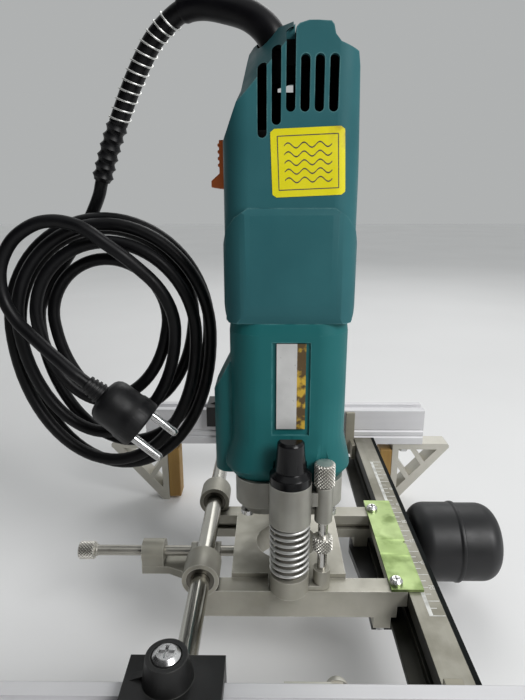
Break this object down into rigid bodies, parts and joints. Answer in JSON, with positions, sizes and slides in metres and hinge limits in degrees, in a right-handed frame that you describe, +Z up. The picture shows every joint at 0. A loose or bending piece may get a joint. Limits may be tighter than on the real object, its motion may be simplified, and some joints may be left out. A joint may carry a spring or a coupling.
{
  "type": "hinge mortiser",
  "caption": "Portable hinge mortiser: upright plunging motor head on sprung columns, cross slide and carriage on a bar and scale rail between clamp beams.",
  "frame": {"origin": "middle of the base, on the plane that the jaws stand on, without the mains lead", "axes": "+X along the beams to the grip, +Y along the bar and rail to the rear beam, +Z up along the spindle"},
  "size_m": [0.3099, 0.306, 0.3552],
  "materials": {
    "beam_aluminium": "satin extruded, with bright groove lines",
    "jaw_aluminium": "matt extruded",
    "pad_rubber": "matt brown",
    "bolt_steel": "zinc plated",
    "bar_steel": "ground bright",
    "knurled_steel": "nickel plated, knurled",
    "spring_steel": "bright wire",
    "black_moulding": "satin black",
    "rail_metal": "bright top, dark sides, engraved scale",
    "bracket_steel": "plain",
    "index_zinc": "zinc plated, stained",
    "die_casting": "cast, worn",
    "bush_steel": "sintered, dark",
    "brush_brass": "plain",
    "housing_plastic": "fine-grained teal",
    "switch_plastic": "orange",
    "motor_iron": "laminated",
    "bearing_steel": "ground",
    "fan_plastic": "black",
    "cable_rubber": "black, slightly glossy"
  },
  "bodies": {
    "frame": {"front_beam": "beam_aluminium", "rear_beam": "beam_aluminium", "guide_bar": "bar_steel", "front_bar_block": "black_moulding", "rear_bar_block": "black_moulding", "bar_block_screws": "bolt_steel", "scale_rail": "rail_metal", "rail_end_brackets": "bracket_steel", "front_stop": "bracket_steel"},
    "front_left_clamp": {"front_left_jaw": "jaw_aluminium", "front_left_pad": "pad_rubber", "front_left_clamp_bolt": "bolt_steel"},
    "front_right_clamp": {"front_right_jaw": "jaw_aluminium", "front_right_pad": "pad_rubber", "front_right_clamp_bolt": "bolt_steel"},
    "rear_left_clamp": {"rear_left_jaw": "jaw_aluminium", "rear_left_pad": "pad_rubber", "rear_left_clamp_bolt": "bolt_steel"},
    "rear_right_clamp": {"rear_right_jaw": "jaw_aluminium", "rear_right_pad": "pad_rubber", "rear_right_clamp_bolt": "bolt_steel"},
    "carriage": {"carriage": "die_casting", "bar_bushes": "bush_steel", "index_plate": "index_zinc", "index_screws": "bolt_steel", "grip_bracket": "black_moulding", "bracket_bolts": "bolt_steel", "grip": "black_moulding", "grip_cap": "black_moulding", "grip_bolt": "bolt_steel"},
    "cross_slide": {"saddle": "die_casting", "guide_rods": "bar_steel", "front_spring": "spring_steel", "rear_spring": "spring_steel", "side_lock_nut": "knurled_steel"},
    "side_stop": {"side_stop_rod": "knurled_steel"},
    "side_nut": {"side_stop_nut": "knurled_steel"},
    "depth_stop": {"depth_rod": "knurled_steel"},
    "depth_collar": {"depth_nut": "knurled_steel"},
    "head": {"head_casting": "die_casting", "lower_housing": "housing_plastic", "upper_housing": "housing_plastic", "column_caps": "black_moulding", "head_screws": "bolt_steel", "stator": "motor_iron", "bearings": "bearing_steel", "brush_holders": "brush_brass", "switch_block": "black_moulding", "cable_boot": "cable_rubber", "ribbed_sleeve": "cable_rubber", "guard_spring": "spring_steel", "cord_lead": "cable_rubber", "cord_coil": "cable_rubber", "cord_tail": "cable_rubber", "plug": "cable_rubber"},
    "switch": {"switch_slider": "switch_plastic"},
    "rotor": {"spindle": "bar_steel", "armature": "motor_iron", "fan": "fan_plastic", "collet_nut": "knurled_steel"}
  },
  "joints": [
    {"name": "front_left_jaw_slide", "type": "slide", "parent": "frame", "child": "front_left_clamp", "axis": [1, 0, 0], "range_m": [0, 0.06]},
    {"name": "front_right_jaw_slide", "type": "slide", "parent": "frame", "child": "front_right_clamp", "axis": [-1, 0, 0], "range_m": [0, 0.06]},
    {"name": "rear_left_jaw_slide", "type": "slide", "parent": "frame", "child": "rear_left_clamp", "axis": [1, 0, 0], "range_m": [0, 0.06]},
    {"name": "rear_right_jaw_slide", "type": "slide", "parent": "frame", "child": "rear_right_clamp", "axis": [-1, 0, 0], "range_m": [0, 0.06]},
    {"name": "carriage_slide", "type": "slide", "parent": "frame", "child": "carriage", "axis": [0, 1, 0], "range_m": [-0.055, 0.08]},
    {"name": "cross_feed", "type": "slide", "parent": "carriage", "child": "cross_slide", "axis": [1, 0, 0], "range_m": [-0.006, 0.022]},
    {"name": "plunge", "type": "slide", "parent": "cross_slide", "child": "head", "axis": [0, 0, 1], "range_m": [-0.009, 0], "stiffness_N_per_m": 1500, "springref_m": 0.03, "deforming": ["front_spring", "rear_spring"]},
    {"name": "spindle_turn", "type": "hinge", "parent": "head", "child": "rotor", "pos_m": [0.0015, -0.016, 0.093], "axis": [0, 0, 1], "continuous": true},
    {"name": "switch_slide", "type": "slide", "parent": "head", "child": "switch", "axis": [0, 0, 1], "range_m": [0, 0.005]},
    {"name": "side_stop_turn", "type": "hinge", "parent": "cross_slide", "child": "side_stop", "pos_m": [-0.0785, -0.016, 0.058], "axis": [1, 0, 0], "range_deg": [-180, 180]},
    {"name": "side_nut_set", "type": "slide", "parent": "cross_slide", "child": "side_nut", "axis": [1, 0, 0], "range_m": [-0.009, 0.009]},
    {"name": "depth_stop_turn", "type": "hinge", "parent": "cross_slide", "child": "depth_stop", "pos_m": [0.0187, -0.0505, 0.093], "axis": [0, 0, 1], "range_deg": [-180, 180]},
    {"name": "depth_collar_set", "type": "slide", "parent": "cross_slide", "child": "depth_collar", "axis": [0, 0, 1], "range_m": [-0.01, 0]}
  ]
}
